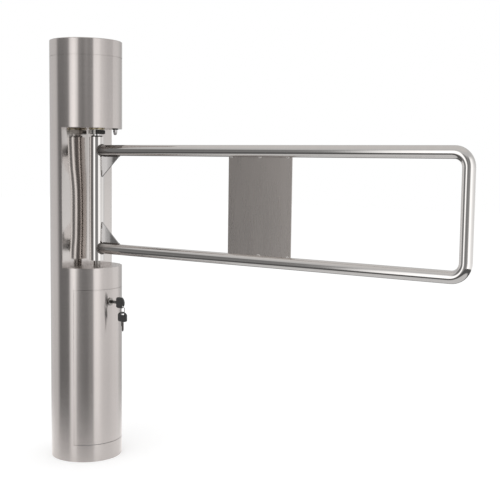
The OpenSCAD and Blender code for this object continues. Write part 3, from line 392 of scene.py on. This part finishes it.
# Materials of the part's slots: colour, roughness, and the noise's scales along X, Y and Z for
# the brush lines and the streaks. Depth is the height of the brush lines in metres
MATERIALS = {
    "column_steel": brushed_metal("column_steel", (0.672, 0.63, 0.612), 0.23, (40, 40, 2600), (3, 3, 170),
                                  anisotropy=1.0, tangent=UPRIGHT, depth=0.000006, spread=0.03),
    "tube_steel": brushed_metal("tube_steel", (0.79, 0.77, 0.755), 0.08, *RAIL_LINES, depth=POLISH_DEPTH,
                                spread=0.03),
    "sign_steel": brushed_metal("sign_steel", (0.575, 0.535, 0.51), 0.28, (1600, 40, 25), (50, 4, 6),
                                anisotropy=0.5, tangent=ALONG, depth=0.000004, spread=0.04),
    "panel_steel": mirror_panel("panel_steel", (0.64, 0.605, 0.585), 0.12),
    "bright_steel": brushed_metal("bright_steel", (0.74, 0.73, 0.72), 0.14, *TURNED_LINES, depth=POLISH_DEPTH,
                                  spread=0.03),
    "dark_steel": brushed_metal("dark_steel", (0.055, 0.05, 0.045), 0.32, (400, 400, 1200), (60, 60, 200),
                                spread=0.15),
    "zinc_steel": brushed_metal("zinc_steel", (0.60, 0.62, 0.64), 0.38, *PLATED_LINES, tint=(0.97, 0.99, 1.0),
                                spread=0.08),
    "bearing_bronze": brushed_metal("bearing_bronze", (0.50, 0.44, 0.31), 0.34, *TURNED_LINES,
                                    tint=(1.0, 0.95, 0.85)),
    "spacer_brass": brushed_metal("spacer_brass", (0.76, 0.6, 0.3), 0.28, (500, 500, 500), (80, 80, 80),
                                  tint=(1.0, 0.95, 0.85)),
    "motor_paint": plain_surface("motor_paint", (0.06, 0.065, 0.07), 0.42, coat=0.2),
    "supply_metal": brushed_metal("supply_metal", (0.66, 0.67, 0.68), 0.4, *PLATED_LINES,
                                  tint=(0.98, 0.99, 1.0)),
    "black_rubber": plain_surface("black_rubber", (0.02, 0.02, 0.02), 0.75),
    "washer_rubber": plain_surface("washer_rubber", (0.012, 0.012, 0.012), 0.6),
    "black_plastic": plain_surface("black_plastic", (0.042, 0.042, 0.042), 0.34, spread=0.25),
    "board_green": circuit_board("board_green"),
}

# Nodes that look different from the rest of their slot
PIVOT_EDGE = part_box("pivot_tube")[1].x
NODE_MATERIALS = {
    "pivot_tube": brushed_metal("pivot_steel", (0.79, 0.77, 0.755), 0.08, (60, 60, 400), (4, 4, 40),
                                depth=0.0, spread=0.02),
    "arm_tube": welded_tube("arm_steel", (0.79, 0.765, 0.745), 0.08, PIVOT_EDGE + HEAT_FROM,
                            PIVOT_EDGE + HEAT_TO),
    "gussets": gusset_metal("gusset_steel", (0.60, 0.58, 0.57), 0.16),
    "pivot_pin": brushed_metal("pin_steel", (0.30, 0.285, 0.27), 0.16, *TURNED_LINES, depth=POLISH_DEPTH),
    "stop_nut": brushed_metal("dome_steel", (0.42, 0.41, 0.41), 0.2, (500, 500, 500), (60, 60, 60),
                              depth=POLISH_DEPTH),
    # The lock nut's bright bands are painted reflections and highlights
    "lock_nut": nut_with_painted_reflections("nut_painted_reflections", "lock_nut"),
    "lock_body": brushed_metal("lock_steel", (0.40, 0.385, 0.37), 0.30, *LOCK_LINES, depth=POLISH_DEPTH),
    "lock_plug": brushed_metal("plug_steel", (0.24, 0.225, 0.21), 0.34, *LOCK_LINES, depth=POLISH_DEPTH),
    "key_blade": brushed_metal("blade_steel", (0.16, 0.165, 0.16), 0.3, (400, 900, 900), (60, 200, 300),
                               depth=POLISH_DEPTH),
    "spare_blade": brushed_metal("spare_steel", (0.30, 0.28, 0.275), 0.3, (900, 900, 400), (300, 300, 60),
                                 depth=POLISH_DEPTH),
    "key_ring": brushed_metal("ring_steel", (0.22, 0.22, 0.22), 0.3, (900, 900, 900), (200, 200, 200),
                              depth=POLISH_DEPTH),
}

for name, obj in nodes.items():
    slot = obj.data.materials[0].name.split(".")[0]
    obj.data.materials[0] = NODE_MATERIALS.get(name, MATERIALS[slot])


# Welds, in metres. A bead has this many sides and swells and narrows along its run by a share of
# its radius, some half turns at each step. An open one ends at another share of its radius
BEAD_SIDES = 8
BEAD_RIPPLE, BEAD_WAVE = 0.16, 0.9
BEAD_END = 0.35
# The ring round a rail's end, and how far its middle lies outside the rail and the pivot tube
RING_BEAD, RING_STEPS = 0.0018, 56
RING_OFF_RAIL, RING_OFF_PIVOT = 0.0004, 0.0006
# A gusset's bead along the rail and its short one at the tip on the pivot tube: their radii, the
# steps of a side of the gusset that they start from, and how far off its faces and edges they lie
RAIL_BEAD, TIP_BEAD = 0.0019, 0.0011
GUSSET_STEPS, RAIL_FROM, TIP_FROM = 16, 1, 11
GUSSET_OFF_FACE = 0.0003
GUSSET_OFF_PIVOT, GUSSET_OFF_RAIL = 0.0004, 0.0006
# The sign plate's tacks: their places along its top and its foot as shares of its width, how far
# their middle lies in from the edge and each step back towards it, and how far out they lie, in
# half thicknesses of the plate
TOP_TACKS, FOOT_TACKS = (0.04, 0.5, 0.93), (0.5, 0.95)
TACK_BEAD, TACK_STEP, TACK_REACH = 0.0013, 0.0011, 4
TACK_IN, TACK_BACK = 0.0012, 0.0003
TACK_OFF_FACE = 1.05


def new_object(name, bm, mat):
    mesh = bpy.data.meshes.new(name)
    bm.to_mesh(mesh)
    bm.free()
    mesh.materials.append(mat)
    obj = bpy.data.objects.new(name, mesh)
    bpy.context.scene.collection.objects.link(obj)
    return obj


def weld_object(name, bm, mat):
    """Beads that ride on the arm."""
    obj = new_object(name, bm, mat)
    for face in obj.data.polygons:
        face.use_smooth = True
    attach(obj, "arm")


def bead(bm, points, radius, closed):
    """A weld bead along a row of points: a round run with its ripples."""
    n = len(points)
    turns = [2 * math.pi * k / BEAD_SIDES for k in range(BEAD_SIDES)]
    rings = []
    for i, p in enumerate(points):
        a = points[(i - 1) % n] if closed or i else p
        b = points[(i + 1) % n] if closed or i < n - 1 else p
        along = (b - a).normalized()
        side = along.orthogonal().normalized() if i == 0 else (side - along * side.dot(along)).normalized()
        up = along.cross(side)
        r = radius * (1 + BEAD_RIPPLE * math.sin(i * BEAD_WAVE * math.pi))
        if not closed and i in (0, n - 1):
            r *= BEAD_END
        rings.append([bm.verts.new(p + r * (math.cos(turn) * side + math.sin(turn) * up)) for turn in turns])
    for i in range(n if closed else n - 1):
        r0, r1 = rings[i], rings[(i + 1) % n]
        # The last ring of a closed bead joins the first where their corners lie nearest
        shift = 0
        if closed and i == n - 1:
            shift = min(range(BEAD_SIDES), key=lambda s: (r0[0].co - r1[s].co).length)
        for k in range(BEAD_SIDES):
            j = (k + 1) % BEAD_SIDES
            bm.faces.new((r0[k], r0[j], r1[(k + 1 + shift) % BEAD_SIDES], r1[(k + shift) % BEAD_SIDES]))
    if not closed:
        bm.faces.new(rings[0][::-1])
        bm.faces.new(rings[-1])
    bmesh.ops.recalc_face_normals(bm, faces=bm.faces)


def weld_rails(metal):
    """A ring round each rail's end, on the round of the pivot tube."""
    low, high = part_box("pivot_tube")
    axis = (low + high) / 2
    pivot_r = (high.x - low.x) / 2 + RING_OFF_PIVOT
    tube_low, tube_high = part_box("arm_tube")
    rail_r = tube_high.y
    ring_r = rail_r + RING_OFF_RAIL
    bm = bmesh.new()
    for z in (tube_low.z + rail_r, tube_high.z - rail_r):
        ring = []
        for i in range(RING_STEPS):
            turn = 2 * math.pi * i / RING_STEPS
            y = ring_r * math.sin(turn)
            ring.append(Vector((axis.x + math.sqrt(pivot_r ** 2 - y * y), y, z + ring_r * math.cos(turn))))
        bead(bm, ring, RING_BEAD, True)
    weld_object("rail_welds", bm, metal)


def weld_gussets(metal):
    """Beads on both faces of each gusset: at its tip on the pivot tube, and along its rail."""
    low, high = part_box("gussets")
    leg = high.x - low.x
    middle = (low.z + high.z) / 2
    rise = max(v.co.z for v in nodes["gussets"].data.vertices if v.co.z < middle) - low.z
    bm = bmesh.new()
    for z, way in ((high.z, -1), (low.z, 1)):
        for side in (-1, 1):
            y = side * (high.y + GUSSET_OFF_FACE)
            run = [Vector((low.x + GUSSET_OFF_PIVOT, y, z + way * rise * k / GUSSET_STEPS))
                   for k in range(TIP_FROM, GUSSET_STEPS + 1)]
            bead(bm, run, TIP_BEAD, False)
            # The bead along the rail runs the whole leg, its dark steel partly painted shade under the gusset
            run = [Vector((low.x + leg * k / GUSSET_STEPS, y, z + way * GUSSET_OFF_RAIL))
                   for k in range(RAIL_FROM, GUSSET_STEPS + 1)]
            bead(bm, run, RAIL_BEAD, False)
    weld_object("gusset_welds", bm, metal)


def tack_sign(metal):
    """Short tacks on both faces of the sign plate, at the rails."""
    low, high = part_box("sign_plate")
    bm = bmesh.new()
    for z, way, shares in ((high.z, -1, TOP_TACKS), (low.z, 1, FOOT_TACKS)):
        for share in shares:
            x = low.x + share * (high.x - low.x)
            for side in (-1, 1):
                y = side * high.y * TACK_OFF_FACE
                run = [Vector((x + TACK_STEP * k, y, z + way * (TACK_IN - TACK_BACK * abs(k))))
                       for k in range(-TACK_REACH, TACK_REACH + 1)]
                bead(bm, run, TACK_BEAD, False)
    weld_object("sign_welds", bm, metal)


# The beads' dark steel is partly the welds' own colour and partly painted shade: the dark line along each
# rail under its gusset
weld_and_painted_shade = brushed_metal("weld_and_painted_shade", (0.20, 0.185, 0.175), 0.3, *WELD_LINES, depth=0.00004,
                           tint=(0.98, 0.95, 0.9), spread=0.08)
weld_rails(weld_and_painted_shade)
weld_gussets(weld_and_painted_shade)
tack_sign(brushed_metal("tack_steel", (0.95, 0.93, 0.91), 0.45, *WELD_LINES, depth=0.00003, spread=0.04))


# Studio. The surround is a round wall that only polished metal sees. Its bands give its
# brightness at each turn from the camera, degrees to the camera's right: the high ones at the
# height of the column's top, and the low ones at the floor
HIGH_BANDS = [
    (-180, 0.62), (-150, 0.60), (-121, 0.69), (-109, 0.66), (-104, 0.56), (-97, 0.18), (-76, 0.16),
    (-62, 0.22), (-56.5, 0.32), (-49, 1.12), (-43, 1.40), (-35, 1.46), (-27.5, 1.18), (-22, 0.28),
    (-10, 0.15), (1, 0.33), (9, 0.20), (20, 0.25), (25, 1.22), (40, 1.24), (47, 0.94), (62, 0.71),
    (74, 0.60), (88, 0.60), (94, 0.76), (106, 0.82), (124, 0.73), (140, 0.55), (160, 0.60), (180, 0.62),
]
LOW_BANDS = [
    (-180, 0.60), (-141, 0.70), (-124, 0.76), (-106, 0.78), (-101, 0.66), (-92, 0.22), (-63, 0.22),
    (-57.5, 0.28), (-50, 1.25), (-42, 1.50), (-36, 1.35), (-29.5, 0.42), (-16, 0.30), (-1, 0.20),
    (3, 0.22), (9, 0.38), (18.5, 0.48), (24, 1.40), (34, 1.52), (48, 1.16), (55, 1.04), (73, 0.98),
    (91, 1.06), (118, 0.98), (133, 0.62), (150, 0.55), (165, 0.58), (180, 0.60),
]
BANDS_HIGH_Z, BANDS_LOW_Z = 1.05, 0.0
# A colour ramp holds values up to 1, so it carries the brightness divided by this
BAND_SCALE = 2.0
WALL_RADIUS, WALL_STEPS = 2.05, 96
WALL_LOW, WALL_HIGH = -0.9, 2.9
# Above the bands the wall fades to an even haze
HAZE, HAZE_LOW_Z, HAZE_HIGH_Z = 0.58, 1.35, 1.85
# Brightness of the sky as light on the object and in its reflections, with their tint
SKY, CEILING, CEILING_TINT = 0.92, 0.64, (1.0, 0.98, 0.96)

# Floor: half its width in metres, the tones of its paint, and the light it gives off where the
# camera or polished metal sees it
FLOOR_REACH, FLOOR_CELLS = 12.0, 8
FLOOR_TONES, FLOOR_SPECK = (0.76, 0.79), (6, 6, 6)
CAMERA_LIFT, GLOSSY_LIFT = 0.32, 0.60
# Polished metal sees the floor as it is beside the column, and as a gloss farther off
NEAR_FLOOR, FAR_FLOOR = 0.11, 0.66
# Facing of that gloss at which the surround shows in it, at which it turns to a dark ring of
# floor, and at which the ring turns to the pale floor seen from above
LOW_ANGLE, RING_LOW, RING_HIGH, HIGH_ANGLE = 0.708, 0.625, 0.36, 0.27
DARK_FLOOR, PALE_FLOOR = 0.10, 0.62

LAMP_POWER, LAMP_SIZE = 14.0, 2.0
LAMP_PLACE, LAMP_AIM = (0.4, -1.6, 3.2), (0.2, 0, 0.4)


def wall_material():
    mat, t = material("studio_wall")
    x, y, z = t.axes()
    # The turn from the camera's direction: 0 towards the camera, positive to its right
    turn = math.radians(CAMERA_AZIMUTH)
    forward = t.math("ADD", t.math("MULTIPLY", x, math.sin(turn)), t.math("MULTIPLY", y, -math.cos(turn)))
    side = t.math("ADD", t.math("MULTIPLY", x, math.cos(turn)), t.math("MULTIPLY", y, math.sin(turn)))
    share = t.share(t.math("ARCTAN2", side, forward), -math.pi, math.pi)
    high, low = (t.ramp(share, [((a + 180) / 360, (v / BAND_SCALE,) * 3) for a, v in bands])
                 for bands in (HIGH_BANDS, LOW_BANDS))
    glow = t.mix(t.share(z, BANDS_LOW_Z, BANDS_HIGH_Z), low, high)
    glow = t.mix(t.share(z, HAZE_LOW_Z, HAZE_HIGH_Z), glow, (HAZE / BAND_SCALE,) * 3)
    shader = t.add("ShaderNodeEmission", {"Color": glow, "Strength": BAND_SCALE})
    t.add("ShaderNodeOutputMaterial", {"Surface": shader.outputs[0]})
    mat.cycles.emission_sampling = "NONE"
    return mat


def make_wall():
    bm = bmesh.new()
    turns = [2 * math.pi * i / WALL_STEPS for i in range(WALL_STEPS)]
    lower, upper = ([bm.verts.new((WALL_RADIUS * math.cos(turn), WALL_RADIUS * math.sin(turn), z))
                     for turn in turns] for z in (WALL_LOW, WALL_HIGH))
    for i in range(WALL_STEPS):
        j = (i + 1) % WALL_STEPS
        bm.faces.new((lower[i], lower[j], upper[j], upper[i]))
    wall = new_object("studio_wall", bm, wall_material())
    wall.visible_camera = wall.visible_diffuse = wall.visible_shadow = wall.visible_transmission = False


def floor_material():
    mat, t = material("floor")
    path = t.add("ShaderNodeLightPath").outputs
    white = (1, 1, 1, 1)
    speck = t.noise(t.place(FLOOR_SPECK), *FINE_NOISE)
    paint = t.add("ShaderNodeBsdfDiffuse", {"Color": t.mix(speck, *((tone,) * 3 for tone in FLOOR_TONES))})
    lift = t.math("ADD", t.math("MULTIPLY", path["Is Camera Ray"], CAMERA_LIFT),
                  t.math("MULTIPLY", path["Is Glossy Ray"], GLOSSY_LIFT))
    lift = t.add("ShaderNodeEmission", {"Color": white, "Strength": lift})
    seen = t.add("ShaderNodeAddShader", {0: paint.outputs[0], 1: lift.outputs[0]})
    x, y, _ = t.axes()
    radius = t.math("SQRT", t.math("ADD", t.math("POWER", x, 2.0), t.math("POWER", y, 2.0)))
    far = t.share(radius, NEAR_FLOOR, FAR_FLOOR)
    facing = t.add("ShaderNodeLayerWeight", {"Blend": 0.5}).outputs["Facing"]
    floor = t.share(facing, LOW_ANGLE, RING_LOW)
    pale = t.share(facing, RING_HIGH, HIGH_ANGLE)
    deep = t.add("ShaderNodeEmission", {"Color": white, "Strength": t.spread(pale, DARK_FLOOR, PALE_FLOOR)})
    clear = t.add("ShaderNodeBsdfTransparent")
    gloss = t.add("ShaderNodeMixShader", {0: floor, 1: clear.outputs[0], 2: deep.outputs[0]})
    share = t.math("MULTIPLY", t.math("MAXIMUM", far, floor), path["Is Glossy Ray"])
    shader = t.add("ShaderNodeMixShader", {0: share, 1: seen.outputs[0], 2: gloss.outputs[0]})
    t.add("ShaderNodeOutputMaterial", {"Surface": shader.outputs[0]})
    return mat


def make_floor():
    bm = bmesh.new()
    bmesh.ops.create_grid(bm, x_segments=FLOOR_CELLS, y_segments=FLOOR_CELLS, size=FLOOR_REACH)
    new_object("floor", bm, floor_material())


def make_sky():
    world = bpy.data.worlds.new("sky")
    bpy.context.scene.world = world
    t = Tree(world)
    path = t.add("ShaderNodeLightPath").outputs
    shiny = t.mix(path["Is Glossy Ray"], (SKY,) * 3, [CEILING * k for k in CEILING_TINT])
    seen = t.mix(path["Is Camera Ray"], shiny, (1.0, 1.0, 1.0))
    back = t.add("ShaderNodeBackground", {"Color": seen, "Strength": 1.0})
    t.add("ShaderNodeOutputWorld", {"Surface": back.outputs[0]})


def make_lamp():
    data = bpy.data.lights.new("soft_lamp", "AREA")
    data.energy = LAMP_POWER
    data.size = LAMP_SIZE
    lamp = bpy.data.objects.new("soft_lamp", data)
    lamp.location = LAMP_PLACE
    lamp.rotation_euler = (Vector(LAMP_AIM) - Vector(LAMP_PLACE)).to_track_quat("-Z", "Y").to_euler()
    lamp.visible_glossy = False
    bpy.context.scene.collection.objects.link(lamp)


make_camera()
make_wall()
make_floor()
make_sky()
make_lamp()
bpy.context.scene.view_settings.view_transform = "Standard"
